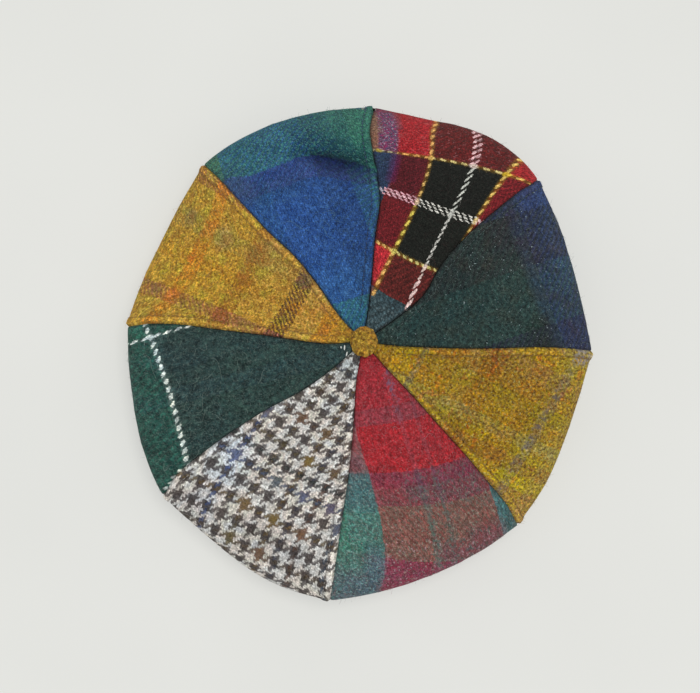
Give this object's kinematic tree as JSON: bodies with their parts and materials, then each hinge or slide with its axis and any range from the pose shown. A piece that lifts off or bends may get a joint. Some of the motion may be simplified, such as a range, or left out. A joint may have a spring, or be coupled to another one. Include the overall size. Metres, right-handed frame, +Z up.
{
  "type": "flat cap",
  "caption": "Full-crowned flat cap of patchwork tweed gores that meet under a covered button, with a head band and a short peak, lying on its band.",
  "frame": {"origin": "on the surface the cap lies on, under the middle of its outline", "axes": "+Z up, +Y towards the front where the peak is, +X towards the wearer's right"},
  "size_m": [0.28, 0.2975, 0.0685],
  "materials": {
    "navy_green_tweed": "napped twill tweed, dark green with navy bands",
    "red_black_tartan": "napped twill tartan, red, maroon and black with yellow and white lines",
    "blue_teal_tweed": "napped twill tweed, blue with teal and green bands",
    "mustard_check_tweed": "heathered tweed, mustard with orange and brown checks",
    "dark_green_windowpane": "napped twill tweed, dark green with a white broken line",
    "houndstooth_tweed": "twill houndstooth, off-white and dark brown with flecks of blue, gold and rust",
    "red_teal_tartan": "napped twill tartan, red, maroon and teal",
    "golden_heather_tweed": "heathered tweed, gold with brown and orange flecks and a grey-blue line",
    "button_cloth": "gold tweed stretched over a button",
    "band_cloth": "plain dark green tweed",
    "peak_cloth": "plain dark green tweed over a stiff peak"
  },
  "bodies": {
    "root": {"crown_panel_right_front": "navy_green_tweed", "crown_panel_front_right": "red_black_tartan", "crown_panel_front_left": "blue_teal_tweed", "crown_panel_left_front": "mustard_check_tweed", "crown_panel_left_back": "dark_green_windowpane", "crown_panel_back_left": "houndstooth_tweed", "crown_panel_back_right": "red_teal_tartan", "crown_panel_right_back": "golden_heather_tweed", "button": "button_cloth", "head_band": "band_cloth", "peak": "peak_cloth"}
  },
  "joints": []
}
